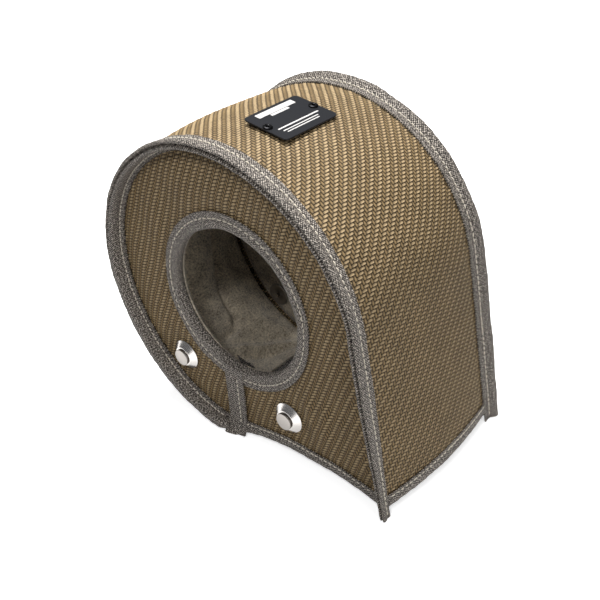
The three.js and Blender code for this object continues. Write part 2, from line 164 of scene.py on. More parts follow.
def cloth_material():
    material, tree, shader = new_material("basalt_twill", Roughness=0.6, Specular_IOR_Level=0.2)
    at = add(tree, "UVMap", uv_map="cloth")
    wander = add(tree, "TexNoise", {"Vector": at, "Scale": 0.12, "Detail": 2.0})
    moved = add(tree, "VectorMath", [wander.outputs["Color"], (0.5, 0.5, 0.5)], operation="SUBTRACT")
    moved = add(tree, "VectorMath", {0: moved, "Scale": 0.5}, operation="SCALE")
    place = add(tree, "VectorMath", [at, moved], operation="ADD")
    parts = add(tree, "SeparateXYZ", [place])
    u = add(tree, "Math", [parts.outputs[0], YARN], operation="DIVIDE")
    v = add(tree, "Math", [parts.outputs[1], YARN], operation="DIVIDE")
    col = add(tree, "Math", [u], operation="FLOOR")
    row = add(tree, "Math", [v], operation="FLOOR")
    crossing = add(tree, "Math", [row, col], operation="ADD")
    crossing = add(tree, "Math", [crossing, 4.0], operation="FLOORED_MODULO")
    # Crossings where the yarn that gets the painted sheen lies on top
    sheen_yarn_up = add(tree, "Math", [crossing, 2.0], operation="LESS_THAN")
    heights = []
    for across, along, line, offset in ((u, v, col, 0.0), (v, u, row, 2.0)):
        share = add(tree, "Math", [across], operation="FRACT")
        middle = add(tree, "Math", [share, 2.0, -1.0], operation="MULTIPLY_ADD")
        middle = add(tree, "Math", [middle], operation="ABSOLUTE")
        fall = add(tree, "Math", [middle, 2.6], operation="POWER")
        around = add(tree, "Math", [1.0, fall], operation="SUBTRACT")
        passed = add(tree, "Math", [along, line], operation="ADD")
        passed = add(tree, "Math", [passed, 4.0], operation="FLOORED_MODULO")
        passed = add(tree, "Math", [passed, offset], operation="SUBTRACT")
        turn = add(tree, "Math", [passed, math.pi / 2], operation="MULTIPLY")
        arch = add(tree, "Math", [turn], operation="SINE")
        arch = add(tree, "Math", [arch, 0.7, 0.3], operation="MULTIPLY_ADD")
        heights.append(add(tree, "Math", [around, arch], operation="MULTIPLY"))
    dark_height = add(tree, "Math", [heights[1], 0.9], operation="MULTIPLY")
    height = add(tree, "Mix", {0: sheen_yarn_up, 2: dark_height, 3: heights[0]})
    streaks = []
    for scale in ((2.2, 0.25, 1.0), (0.25, 2.2, 1.0)):
        stretched = add(tree, "VectorMath", [place, scale], operation="MULTIPLY")
        streaks.append(add(tree, "TexNoise", {"Vector": stretched, "Scale": 2.4, "Detail": 3.0}))
    fibre = add(tree, "Mix", {0: sheen_yarn_up, 2: streaks[1].outputs[0], 3: streaks[0].outputs[0]})
    patch = add(tree, "TexNoise", {"Vector": at, "Scale": 0.05, "Detail": 3.0})
    # Painted sheen: floats of the yarn on top get the lighter B79F7A in place of the lamp's glint off
    # them, the crossing yarns the darker 937C59
    yarn_with_painted_sheen = add(tree, "Mix", {0: sheen_yarn_up, 6: linear("937C59"), 7: linear("B79F7A")}, data_type="RGBA")
    worn = add(tree, "MapRange", {0: fibre, 1: 0.3, 2: 0.7, 3: 0.72, 4: 1.25})
    cloudy = add(tree, "MapRange", {0: patch, 1: 0.3, 2: 0.7, 3: 0.92, 4: 1.08})
    tone = add(tree, "Math", [worn, cloudy], operation="MULTIPLY")
    shade = add(tree, "VectorMath", {0: yarn_with_painted_sheen.outputs[2], "Scale": tone}, operation="SCALE")
    # Painted shade: where the weave lies low between the yarns, the colour goes towards near-black
    # 150F08 in place of the shade in the gaps
    painted_gap_shade = add(tree, "MapRange", {0: height, 1: 0.12, 2: 0.8})
    colour = add(tree, "Mix", {0: painted_gap_shade, 6: linear("150F08"), 7: shade}, data_type="RGBA")
    tree.links.new(colour.outputs[2], shader.inputs["Base Color"])
    relief = add(tree, "Math", [fibre, 0.12, height], operation="MULTIPLY_ADD")
    bump = add(tree, "Bump", {"Strength": 0.9, "Distance": WEAVE_DEPTH * MM, "Height": relief})
    tree.links.new(bump.outputs[0], shader.inputs["Normal"])
    return material


cover_cloth = cloth_material()


# Height of the weave at half-yarn steps: floats stand high, the gaps between yarns lie low.
# It is 0 at the top of a float and -WEAVE_DEPTH in a gap.
def weave(ku, kv):
    col, row = ku // 2, kv // 2
    here = (col + row) % 4 < 2
    left, below = (col - 1 + row) % 4 < 2, (col + row - 1) % 4 < 2
    centre = np.where(here, 1.0, 0.75)
    on_row_edge = np.where(here & below, 0.95, np.where(here | below, 0.35, 0.0))
    on_col_edge = np.where(~here & ~left, 0.7, np.where(here & left, 0.0, 0.35))
    odd_u, odd_v = ku % 2 == 1, kv % 2 == 1
    level = np.where(odd_u, np.where(odd_v, centre, on_row_edge), np.where(odd_v, on_col_edge, 0.0))
    return (level - 1) * WEAVE_DEPTH


# The cloth reaches under the lips to COVER_HALF. Seam puckers die out away from its sides,
# and the crown and puckers both end before the taped ends.
COVER_HALF = 49.6
COVER_INSET = 1.2


def band_cover():
    half = YARN / 2
    ku = np.arange(0, int(BAND_LENGTH / half) + 1)
    kv = np.arange(-int(COVER_HALF / half), int(COVER_HALF / half) + 1)
    s, y = np.meshgrid(ku * half, kv * half, indexing="ij")
    level = weave(*np.meshgrid(ku, kv, indexing="ij"))
    to_seam = np.maximum(FACE_Y - np.abs(y), 0)
    pucker = 0.45 * ripple(s, np.sign(y) * 40, 13, 3)
    pucker = pucker * np.exp(-to_seam / 6) * (1 - np.exp(-to_seam / 1.5))
    crown = 0.9 * (1 - np.exp(-to_seam / 5))
    crown = crown + 0.5 * ripple(s, y, 70, 5) * (1 - np.exp(-to_seam / 12))
    ends = np.minimum(s, BAND_LENGTH - s)
    lifted = (crown + pucker) * (1 - np.exp(-np.maximum(ends - 5, 0) / 8))
    points = on_band(s, y, COVER_INSET - lifted - level)
    return finish("band_cover_cloth", points, quads(*s.shape), cover_cloth, np.stack([s, y], -1))


band_cloth = band_cover()
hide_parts("band_cover")


# Side panels: the same cloth cut off the grain, with a round opening and a slit below it.
# It pillows between its seams and is drawn in flat where the anchors clamp it.
HOLE = np.array([3.7, 91.2])
HOLE_RADIUS = 43.0
HOLE_TAPE = 12.0
SLIT_X = -1.5
SLIT_HALF = 7.5
SEAM_INSET = 8.7
HEM_RISE = 26.0
HEM_HEIGHT = 8.6
FLANGE_EDGE = 9.5
ANCHORS = {"left": (-42.7, 37.2), "right": (38.5, 30.4)}
TWILL_TURN = math.radians(23.5)
FAR = 60.0


# How far a point of the side view lies in from the outline
def depth_in(x, z):
    q = x * math.sin(LEAN) - (z - RADIUS) * math.cos(LEAN)
    m = x * math.cos(LEAN) + (z - RADIUS) * math.sin(LEAN)
    return np.where((q > 0) & (m > 0), RADIUS - m, RADIUS - np.hypot(x, z - RADIUS))


# The free lower edge between slit and tip is drawn up a little in its middle
def hem_height(x):
    t = np.clip((x - SLIT_X) / (TIP_X - SLIT_X), 0, 1)
    return HEM_RISE * t * (1 - t)


# How far a point of a panel may swell: 0 at every seam, tape and anchor, 1 well away. FAR
# stands for a seam that isn't on this side.
def panel_rise(x, z):
    rise = 1.0
    slit = np.where(z < HOLE[1], np.abs(x - SLIT_X) - SLIT_HALF, FAR)
    hem = np.where(x > SLIT_X, z - hem_height(x) - HEM_HEIGHT, FAR)
    hole = np.hypot(x - HOLE[0], z - HOLE[1]) - HOLE_RADIUS - HOLE_TAPE
    for distance in (depth_in(x, z) - SEAM_INSET, hole, slit, hem):
        rise = rise * (1 - np.exp(-np.maximum(distance, 0) / 6))
    for anchor_x, anchor_z in ANCHORS.values():
        near = np.maximum(np.hypot(x - anchor_x, z - anchor_z) - FLANGE_EDGE, 0)
        rise = rise * (1 - np.exp(-(near / 7) ** 2))
    return rise


def panel_cover(side, hand):
    half = YARN / 2
    k = np.arange(-int(150 / half), int(150 / half) + 1)
    ku, kv = np.meshgrid(k, k, indexing="ij")
    u, v = ku * half, kv * half
    x = -hand * (u * math.sin(TWILL_TURN) + v * math.cos(TWILL_TURN))
    z = RADIUS - u * math.cos(TWILL_TURN) + v * math.sin(TWILL_TURN)
    hole = np.hypot(x - HOLE[0], z - HOLE[1]) - HOLE_RADIUS
    slit = np.where(z < HOLE[1], np.abs(x - SLIT_X), FAR)
    hem = np.where(x > SLIT_X, z - hem_height(x), z)
    on_cloth = (depth_in(x, z) > 6) & (hole > 4) & (slit > 4) & (hem > 3)
    rise = panel_rise(x, z)
    wave = ripple(x, z, 42, 11 if hand < 0 else 17)
    near_seam = np.minimum(depth_in(x, z) - SEAM_INSET, np.abs(hole - HOLE_TAPE))
    turn = np.arctan2(z - HOLE[1], x - HOLE[0]) * (HOLE_RADIUS + HOLE_TAPE)
    pucker = 0.35 * ripple(turn, near_seam, 12, 23) * np.exp(-np.maximum(near_seam, 0) / 4)
    anchor_creases = 0.7 * ripple(1.6 * x, z, 17, 29) * np.exp(-((z - 36) / 20) ** 2)
    y = FACE_Y + rise * (2.0 + 0.8 * wave + anchor_creases) + pucker * rise + weave(ku, kv)
    points = np.stack([x, hand * y, z], -1)
    faces = quads(*x.shape)
    faces = faces[on_cloth.ravel()[faces].all(1)]
    used, faces = np.unique(faces, return_inverse=True)
    faces = faces.reshape(-1, 4)[:, ::-1]
    uv = np.stack([u, v], -1).reshape(-1, 2)[used]
    obj = finish(side + "_cover_cloth", points.reshape(-1, 3)[used], faces, cover_cloth, uv)
    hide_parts(side + "_cover")


for side, hand in (("front", -1), ("back", 1)):
    panel_cover(side, hand)


# Binding tape, knitted of glass-fibre yarn and folded over every raw edge. Its pale and black
# yarns give a salt-and-pepper speckle, at the pitch of the knitted loops. On a panel its
# outer leg lies at TAPE_Y, and BACK_Y is the quilt's inner face.
TAPE = 0.8
TAPE_Y = 48.9
BACK_Y = 33.5
KNIT_ACROSS = 1.5
KNIT_ALONG = 1.3


def tape_material():
    material, tree, shader = new_material("glass_fibre_tape", Roughness=0.7)
    at = add(tree, "UVMap", uv_map="cloth")
    jitter = add(tree, "TexNoise", {"Vector": at, "Scale": 0.8, "Detail": 2.0})
    moved = add(tree, "VectorMath", {0: jitter.outputs["Color"], "Scale": 0.8}, operation="SCALE")
    place = add(tree, "VectorMath", [at, moved], operation="ADD")
    parts = add(tree, "SeparateXYZ", [place])
    waves = []
    for axis, pitch in ((0, KNIT_ACROSS), (1, KNIT_ALONG)):
        turn = add(tree, "Math", [parts.outputs[axis], 2 * math.pi / pitch], operation="MULTIPLY")
        waves.append(add(tree, "Math", [turn], operation="SINE"))
    knit = add(tree, "Math", waves, operation="MULTIPLY")
    speck = add(tree, "TexNoise", {"Vector": at, "Scale": 0.95, "Detail": 3.0, "Roughness": 0.7})
    height = add(tree, "Math", [knit, 0.16, speck], operation="MULTIPLY_ADD")
    ramp = add(tree, "ValToRGB", [height])
    ramp.color_ramp.elements[0].position = 0.4
    ramp.color_ramp.elements[0].color = linear("15110E")
    ramp.color_ramp.elements[1].position = 0.68
    ramp.color_ramp.elements[1].color = linear("D6CCC0")
    middle = ramp.color_ramp.elements.new(0.53)
    middle.color = linear("5E564E")
    tree.links.new(ramp.outputs[0], shader.inputs["Base Color"])
    bump = add(tree, "Bump", {"Strength": 1.0, "Distance": 0.5 * MM, "Height": height})
    tree.links.new(bump.outputs[0], shader.inputs["Normal"])
    return material


binding_tape = tape_material()


# Off-white sewing thread in lock stitches: each shows as a short rounded bar that dips into
# the tape at both ends
thread = new_material("sewing_thread", Base_Color=linear("DCD3C2"), Roughness=0.6)[0]
THREAD_RADIUS = 0.33
STITCH = 2.7
STITCH_STEP = 3.2
THREAD_SIDES = 8


# One row of stitches: along(t) gives points on the surface and the way out of it
def stitches(name, along, start, end):
    count = int((end - start) / STITCH_STEP)
    rng = np.random.default_rng(len(name))
    middles = start + (np.arange(count) + 0.5) * (end - start) / count + rng.normal(0, 0.12, count)
    shares = np.array([-1, -0.82, -0.45, 0, 0.45, 0.82, 1])
    t = middles[:, None] + shares * STITCH / 2
    centre, out = along(t)
    heading = np.gradient(centre, axis=1)
    heading /= np.linalg.norm(heading, axis=-1, keepdims=True)
    across = np.cross(heading, out)
    across /= np.linalg.norm(across, axis=-1, keepdims=True)
    sway = rng.normal(0, 0.1, (count, 1, 1)) * shares[None, :, None]
    lift = 0.3 - 0.75 * np.abs(shares) ** 3
    centre = centre + out * lift[None, :, None] + across * sway
    turn = np.arange(THREAD_SIDES) * 2 * math.pi / THREAD_SIDES
    thick = THREAD_RADIUS * np.array([0.5, 0.85, 1, 1.05, 1, 0.85, 0.5])[None, :, None, None]
    round_it = (across[:, :, None] * np.cos(turn)[None, None, :, None]
                + out[:, :, None] * np.sin(turn)[None, None, :, None])
    points = centre[:, :, None] + thick * round_it
    one = quads(len(shares), THREAD_SIDES, wrap=True)
    stitch_points = len(shares) * THREAD_SIDES
    faces = (one[None] + stitch_points * np.arange(count)[:, None, None]).reshape(-1, 4)
    obj = finish(name, points, faces, thread)
    return obj


# Cross-section of a folded tape: a runs from the fold to the tape's edge, b from the outer
# leg to the inner one. The row of stitches draws the legs in, so they puff on both sides.
def section(outer_leg, inner_leg, thickness, corner, sewn_at, foot=0.0):
    rest = max(thickness - 2 * corner, 0)
    lengths = (outer_leg - corner, corner * math.pi / 2, rest, corner * math.pi / 2,
               inner_leg - corner, foot)
    a, b, along = [], [], []
    for part, length in enumerate(lengths):
        if length <= 0:
            continue
        steps = max(int(length / (0.3 if part == 2 else 0.55)), 3)
        for k in range(0 if not a else 1, steps + 1):
            t = k / steps
            angle = t * math.pi / 2
            spot = (
                (outer_leg - t * length, 0),
                (corner * (1 - math.sin(angle)), corner * (1 - math.cos(angle))),
                (0, corner + t * rest),
                (corner * (1 - math.cos(angle)), thickness - corner * (1 - math.sin(angle))),
                (corner + t * length, thickness),
                (inner_leg, thickness + t * length),
            )[part]
            a.append(spot[0])
            b.append(spot[1])
            along.append(sum(lengths[:part]) + t * length)
    a, b, along = map(np.array, (a, b, along))
    step = np.stack([np.gradient(a), np.gradient(b)])
    step /= np.linalg.norm(step, axis=0)
    normal = np.stack([step[1], -step[0]])
    draw = 0.35 * np.exp(-((a - sewn_at) / 1.0) ** 2)
    draw = draw - 0.25 * np.exp(-((a - sewn_at / 2) / 1.6) ** 2)
    draw = draw * ((b < corner * 0.5) | (np.abs(b - thickness) < corner * 0.5))
    return a + normal[0] * draw, b + normal[1] * draw, normal, along


# A closed sheet of cloth between its outer and inner grid of points
def sheet_between(name, outer, inner, material, uv):
    rows, cols = outer.shape[:2]
    count = rows * cols
    top = quads(rows, cols)
    under = quads(rows, cols, start=count)[:, ::-1]
    index = np.arange(count).reshape(rows, cols)
    sides = []
    for edge in (index[0][::-1], index[-1], index[:, 0], index[:, -1][::-1]):
        sides.append(np.stack([edge[:-1], edge[:-1] + count, edge[1:] + count, edge[1:]], -1))
    faces = np.concatenate([top, under, *sides])
    return finish(name, np.concatenate([outer.reshape(-1, 3), inner.reshape(-1, 3)]), faces,
                  material, np.concatenate([uv.reshape(-1, 2)] * 2))


# One length of tape with its rows of stitches: place(t, a, b) puts a point of the section at
# t along the tape, and a row runs from start to end at one spot of the section
def binding(name, node, place, t, shape, seed, width, rows):
    a, b, normal, along = shape
    t = t[:, None]
    wobble = 0.16 * ripple(t, along, 22, seed) + 0.1 * ripple(t, along, 5, seed + 1)
    grids = []
    for sunk in (0.0, TAPE * 0.9):
        grids.append(place(t, a + normal[0] * (sunk - wobble), b + normal[1] * (sunk - wobble)))
    uv = np.stack(np.broadcast_arrays(t, along), -1)
    obj = sheet_between(name, grids[0], grids[1], binding_tape, uv)
    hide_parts(node)
    for row, (start, end, at_a, at_b, way) in enumerate(rows):
        def path(t, at_a=at_a, at_b=at_b, way=way):
            point = place(t, np.full(t.shape, at_a), np.full(t.shape, at_b))
            outer = place(t, np.full(t.shape, at_a), np.full(t.shape, at_b) - way * 0.5)
            out = outer - point
            return point, out / np.linalg.norm(out, axis=-1, keepdims=True)
        stitches(f"{name}_stitches_{row + 1}", path, start, end)
    float(np.ptp(t)) * MM


# Lips: the standing seams between band and panels, wrapped in one length of tape each and
# sewn from both sides. They lean outwards by uneven amounts, the back one further, and from
# GROOVE_START on, the tape's crest is sunk into a groove between its two legs.
FOLD_Y = 56.3
LIP_HEIGHT = 8.6
LIP_THICKNESS = 5.2
LIP_SEWN = 6.2
LIP_END = ARC + DROP
LIP_FLARE = {-1: 8, 1: 18}
LIP_SEED = {-1: 31, 1: 37}
GROOVE_DEPTH = 3.2
GROOVE_START = 120
FLOOR_GAP = 0.15


def lip_place(hand):
    def place(t, a, b):
        pinch = np.exp(-((LIP_END - t) / 55) ** 2) * (hand < 0)
        under = np.clip(-t / 4, 0, 1)
        crest = np.exp(-((b - LIP_THICKNESS / 2) / 0.6) ** 2) * (a < 1.5)
        groove = GROOVE_DEPTH * crest * (1 - np.exp(-np.maximum(t - GROOVE_START, 0) / 60))
        out = np.tan(np.radians(LIP_FLARE[hand] + 5 * ripple(t, 0, 160, LIP_SEED[hand])))
        lift = np.maximum(LIP_HEIGHT - a, 0) * out + 0.15 * ripple(t, 9, 30, 41)
        lift = lift * (1 - np.exp(-np.maximum(t + 2, 0) / 25)) * (1 - 0.8 * pinch)
        y = FOLD_Y - a * (1 - 0.4 * pinch) - groove - 1.6 * pinch - 2.2 * under
        rest = swell(t, y) * (b < LIP_THICKNESS / 2)
        inset = b * (1 - 0.4 * pinch) - lift * np.clip(1.4 - a / LIP_HEIGHT, 0, 1) - rest
        x, z = outline(t, inset)
        x, z, y = np.broadcast_arrays(x, np.maximum(z, FLOOR_GAP), hand * y)
        return np.stack([x, y, z], -1)
    return place


for side, hand in (("front", -1), ("back", 1)):
    rows = [(-1, LIP_END - 2, LIP_SEWN, 0.35, 1), (2, LIP_END - 10, LIP_SEWN, 4.85, -1)]
    outer_leg = LIP_HEIGHT + (2.4 if hand > 0 else 1.4)
    shape = section(outer_leg, 7.4, LIP_THICKNESS, 1.5, LIP_SEWN, 1.6)
    binding(side + "_lip_tape", side + "_lip_binding", lip_place(hand),
            np.arange(-6, LIP_END + 0.7, 1.4), shape, 51, 26, rows)


# Tape round the opening, rolled over the rim. The rim is slightly oval, and the row of
# stitches starts beside the slit's upper tape.
RING_SEWN = 7.5
RING_WIDEN = 2.0


def ring_place(hand):
    def place(t, a, b):
        r = HOLE_RADIUS + 0.87 * a + 0.7 * ripple(t, 0, 90, 61)
        angle = t / HOLE_RADIUS
        x = HOLE[0] + (r + RING_WIDEN - 0.15 * a) * np.cos(angle)
        z = HOLE[1] + r * np.sin(angle)
        x, z, y = np.broadcast_arrays(x, z, hand * (TAPE_Y - b) + 0 * t)
        return np.stack([x, y, z], -1)
    return place


# Angle of the point at x on the lower half of a circle round the opening's centre
def ring_angle(x, radius):
    return -math.pi / 2 + math.asin((x - HOLE[0]) / radius)


ring_start = ring_angle(SLIT_X - 6, 49) * HOLE_RADIUS
ring_end = (ring_angle(SLIT_X - SLIT_HALF + 1.5, 49) + 2 * math.pi) * HOLE_RADIUS
ring_sewn_from = HOLE_RADIUS * ring_angle(SLIT_X + 2.7, 50.5)
for side, hand in (("front", -1), ("back", 1)):
    binding(side + "_opening_tape", side + "_opening_binding", ring_place(hand),
            np.linspace(ring_start, ring_end, 200), section(12, 9, 6.0, 2.6, RING_SEWN), 63, 25,
            [(ring_sewn_from, ring_end, RING_SEWN, 0.35, 1)])


# Slit below the opening, both edges taped: the right flap's edge lies over the left flap's
# and comes forward over the hem. The left flap gets thinner under the opening's tape.
SLIT_SEWN = 10.2


def slit_place(hand, way, edge, outer_y, forward):
    def place(t, a, b):
        x = edge + way * a
        rim = HOLE[1] - np.sqrt(np.maximum((HOLE_RADIUS + 1.2) ** 2 - (x - HOLE[0]) ** 2, 0))
        at_hem = np.clip(1 - t / 12, 0, 1)
        reach = (forward - 0.2 * a) * at_hem ** 2 * np.clip(1 - b / 5, 0, 1)
        slim = 1 - (0 if forward else 0.45) * np.clip((t - 34) / 13, 0, 1)
        z = t * rim / 50 + 0.8 * hem_height(np.maximum(x, SLIT_X)) * at_hem
        x, z, y = np.broadcast_arrays(x, z, hand * (outer_y + reach - b * slim))
        return np.stack([x, y, z], -1)
    return place


for side, hand in (("front", -1), ("back", 1)):
    over = slit_place(hand, 1, SLIT_X - SLIT_HALF - 0.4, TAPE_Y + 1.0, 6.0)
    binding(side + "_slit_over_tape", side + "_slit_binding_over", over, np.linspace(0.2, 49.8, 46),
            section(15, 15, 5.4, 2.2, SLIT_SEWN), 71, 34, [(8, 42.5, SLIT_SEWN, 0.35, 1)])
    under = slit_place(hand, -1, SLIT_X + SLIT_HALF - 1, TAPE_Y - 5.8, 0)
    binding(side + "_slit_under_tape", side + "_slit_binding_under", under, np.linspace(0.2, 47, 40),
            section(14, 14, 9.2, 2.6, SLIT_SEWN), 73, 36, [(8, 42, SLIT_SEWN, 8.85, -1)])


# Hem of each panel's free lower edge, taped through the whole quilt. At the slit it reaches
# forward to meet the upper flap.
HEM_SEWN = 7.0
HEM_REACH = 3.0


def hem_place(hand):
    def place(t, a, b):
        base = hem_height(t) + 0.35 * ripple(t, 0, 30, 81)
        side_x = RADIUS / math.cos(LEAN) + math.tan(LEAN) * (RADIUS - base - a)
        x = np.minimum(t + 0 * a, side_x - 5.4)
        reach = HEM_REACH * np.exp(-np.maximum(t - SLIT_X - 6, 0) / 9)
        reach = reach * np.clip(1 - a / 9, 0, 1) * np.clip(1 - b / 6, 0, 1)
        x, z, y = np.broadcast_arrays(x, base + a, hand * (TAPE_Y + reach - b) + 0 * t)
        return np.stack([x, y, z], -1)
    return place


for side, hand in (("front", -1), ("back", 1)):
    shape = section(HEM_HEIGHT, HEM_HEIGHT, TAPE_Y - BACK_Y, 3.4, HEM_SEWN)
    binding(side + "_hem_tape", side + "_hem_binding", hem_place(hand),
            np.linspace(SLIT_X + 4, 102, 80), shape, 83, 32, [(SLIT_X + 2.5, 95, HEM_SEWN, 0.35, 1)])


# Tape round both ends of the band, through the whole quilt. Its inner leg is narrower than
# the band, because the panels' linings take up room, and at the slit it is cut short.
END_REACH = 48.2
END_THICKNESS = 15.4


def end_place(at_tip):
    def place(t, a, b):
        s = BAND_LENGTH - a if at_tip else a
        reach = np.where(b < 6, 1.0, BACK_Y / 47.0)
        s, y, inset = np.broadcast_arrays(s + 0 * t, t * reach, b)
        return on_band(s, y, inset)
    return place


for end, at_tip, inner_leg, width in (("tip", True, HEM_HEIGHT, 32), ("slit", False, 4.0, 27)):
    binding(f"band_{end}_end_tape", f"band_{end}_end_binding", end_place(at_tip),
            np.linspace(-END_REACH, END_REACH, 74),
            section(HEM_HEIGHT, inner_leg, END_THICKNESS, 3.4, HEM_SEWN), 91, width,
            [(-46, 46, HEM_SEWN, 0.35, 1)])


# Fleece lining: needled grey felt that looks matt and hairy and sags in soft folds. At
# both sides it is drawn up into the seams.
LINING = 1.2
LINING_HALF = 37.8
LINING_INSET = 14.2


def fleece_material():
    material, tree, shader = new_material("lining_fleece", Roughness=0.95)
    shader.inputs["Sheen Weight"].default_value = 0.3
    at = add(tree, "UVMap", uv_map="cloth")
    fine = add(tree, "TexNoise", {"Vector": at, "Scale": 0.7, "Detail": 6.0, "Roughness": 0.8})
    broad = add(tree, "TexNoise", {"Vector": at, "Scale": 0.12, "Detail": 4.0})
    both = add(tree, "Mix", {0: 0.75, 2: broad.outputs[0], 3: fine.outputs[0]})
    ramp = add(tree, "ValToRGB", [both])
    ramp.color_ramp.elements[0].position = 0.38
    ramp.color_ramp.elements[0].color = linear("5C5142")
    ramp.color_ramp.elements[1].position = 0.62
    ramp.color_ramp.elements[1].color = linear("E2D4BC")
    tree.links.new(ramp.outputs[0], shader.inputs["Base Color"])
    bump = add(tree, "Bump", {"Strength": 0.9, "Distance": 1.8 * MM, "Height": both})
    tree.links.new(bump.outputs[0], shader.inputs["Normal"])
    return material


fleece = fleece_material()


# A soft fold along a line of points, high for a ridge and low for a crease
def fold(s, y, points, width, height):
    nearest = np.full(s.shape, 1e9)
    for start, end in zip(points[:-1], points[1:]):
        way = np.subtract(end, start)
        t = ((s - start[0]) * way[0] + (y - start[1]) * way[1]) / (way @ way)
        t = np.clip(t, 0, 1)
        nearest = np.minimum(nearest, np.hypot(s - start[0] - t * way[0], y - start[1] - t * way[1]))
    return height * np.exp(-(nearest / width) ** 2)


def band_lining():
    s, y = np.meshgrid(np.arange(-1.4, BAND_LENGTH - 1, 1.3),
                       np.linspace(-LINING_HALF, LINING_HALF, 68), indexing="ij")
    sag = 1.2 * ripple(s, y, 48, 101) + 0.4 * ripple(s, y, 15, 103)
    folds = (
        ([(135, 20), (121, 14), (98, 10), (77, 2.5), (55, 2), (45, -4), (44, -20)], 2.6, -3.4),
        ([(110, 0), (85, -7), (62, -8), (50, -22)], 9.0, 4.2),
        ([(42, -30), (27, -6), (10, 18)], 3.0, 3.4),
        ([(34, -30), (20, -8), (4, 14)], 2.2, -2.0),
        ([(60, 14), (40, 16), (24, 22)], 8.0, 3.0),
        ([(103, -36), (100, -13)], 1.8, -1.8),
        ([(92, -36), (89, -17)], 1.8, -1.8),
        ([(190, -30), (215, 34)], 3.0, -1.8),
        ([(300, 30), (330, -34)], 3.0, -1.8),
        ([(420, -30), (450, 30)], 4.0, 1.8),
    )
    for line in folds:
        sag = sag + fold(s, y, *line)
    to_side = LINING_HALF - np.abs(y)
    ends = 1 - np.exp(-np.minimum(s + 1.5, BAND_LENGTH - s) / 6)
    tuck = -9.0 * np.exp(-(to_side / 3.3) ** 2) - 1.5 * np.exp(-(to_side / 7) ** 2)
    drop = (sag * (1 - np.exp(-to_side / 8)) + tuck) * ends
    inset = LINING_INSET + drop + 3.0 * np.exp(-(s / 9) ** 4)
    uv = np.stack([s, y], -1)
    obj = sheet_between("band_lining_fleece", on_band(s, y, inset - LINING)[:, ::-1],
                        on_band(s, y, inset)[:, ::-1], fleece, uv[:, ::-1])
    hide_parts("band_liner")


band_lining()


# Panel layers are laid out in rays from the opening's centre to the outline or the hem
def ray_ends(angle, inset):
    low, high = np.full(angle.shape, 30.0), np.full(angle.shape, 160.0)
    for _ in range(30):
        r = (low + high) / 2
        x, z = HOLE[0] + r * np.cos(angle), HOLE[1] + r * np.sin(angle)
        floor = np.where(x > SLIT_X, z - hem_height(x) - 1.2, 50.0)
        inside = (depth_in(x, z) > inset) & (floor > 0)
        low, high = np.where(inside, r, low), np.where(inside, high, r)
    return low


def rays(inset, start_radius, rows, cols):
    first = -math.pi / 2 + math.asin((SLIT_X + 2 - HOLE[0]) / 60)
    last = 1.5 * math.pi + math.asin((SLIT_X - SLIT_HALF - HOLE[0]) / 60)
    angle, share = np.meshgrid(np.linspace(first, last, rows), np.linspace(0, 1, cols),
                               indexing="ij")
    r = start_radius + (ray_ends(angle, inset) - start_radius) * share
    return HOLE[0] + r * np.cos(angle), HOLE[1] + r * np.sin(angle)


# Panel linings of the same felt: drawn out to the cover at the opening's rim, and into the
# seam at the band
LINING_Y = 34.2
PANEL_LINING_INSET = 9.6
RIM_GAP = 1.5


for side, hand in (("front", -1), ("back", 1)):
    x, z = rays(PANEL_LINING_INSET, HOLE_RADIUS + RIM_GAP, 260, 34)
    sag = 0.8 * ripple(x, z, 40, 111) + 0.3 * ripple(x, z, 14, 113)
    to_band = np.maximum(depth_in(x, z) - PANEL_LINING_INSET, 0)
    edge = 1 - np.exp(-to_band / 8)
    tuck = 3.4 * np.exp(-(to_band / 4.2) ** 2)
    from_rim = np.hypot(x - HOLE[0], z - HOLE[1]) - HOLE_RADIUS
    off_tape = 1 - np.exp(-np.maximum(from_rim - 11, 0) / 8)
    drawn = 8.6 * np.exp(-np.maximum(from_rim - RIM_GAP, 0) / 8)
    y = LINING_Y + (sag - 0.6) * edge * off_tape + tuck + drawn
    inner, outer = (np.stack([x, hand * level, z], -1) for level in (y, y + LINING))
    if hand < 0:
        inner, outer, x, z = inner[::-1], outer[::-1], x[::-1], z[::-1]
    obj = sheet_between(side + "_lining_fleece", inner, outer, fleece, np.stack([x, z], -1))
    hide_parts(side + "_liner")


# Filling: needled silica wool between cover and lining. It is out of sight, so it is a plain
# matt off-white batt that fills the quilt between its seams.
wool = new_material("silica_wool", Base_Color=linear("D8D2C4"), Roughness=0.95)[0]
BAND_BATT = (3.6, 8.4)
PANEL_BATT = (45.5, 39.5)
BATT_HALF = 32.0


def batt(name, node, outer, inner):
    uv = np.zeros((*outer.shape[:2], 2))
    obj = sheet_between(name, outer, inner, wool, uv)
    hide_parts(node)


s, y = np.meshgrid(np.linspace(3, BAND_LENGTH - 3, 120), np.linspace(-BATT_HALF, BATT_HALF, 9),
                   indexing="ij")
batt("band_insulation_batt", "band_insulation", *(on_band(s, y, inset) for inset in BAND_BATT))
for side, hand in (("front", -1), ("back", 1)):
    x, z = rays(9.0, HOLE_RADIUS + 14, 90, 7)
    outer, inner = (np.stack([x, 0 * x + hand * level, z], -1) for level in PANEL_BATT)
    if hand > 0:
        outer, inner = outer[::-1], inner[::-1]
    batt(side + "_insulation_batt", side + "_insulation", outer, inner)


# Lacing anchors of stainless steel, one washer inside the panel and one post through it: a
# turned flange with a bright polish, and a duller satin cap above the groove for the wire.
polished = new_material("polished_stainless", Base_Color=linear("C4C0BC"), Metallic=1.0,
                        Roughness=0.22)[0]
satin = new_material("satin_stainless", Base_Color=linear("9D9893"), Metallic=1.0,
                     Roughness=0.42)[0]


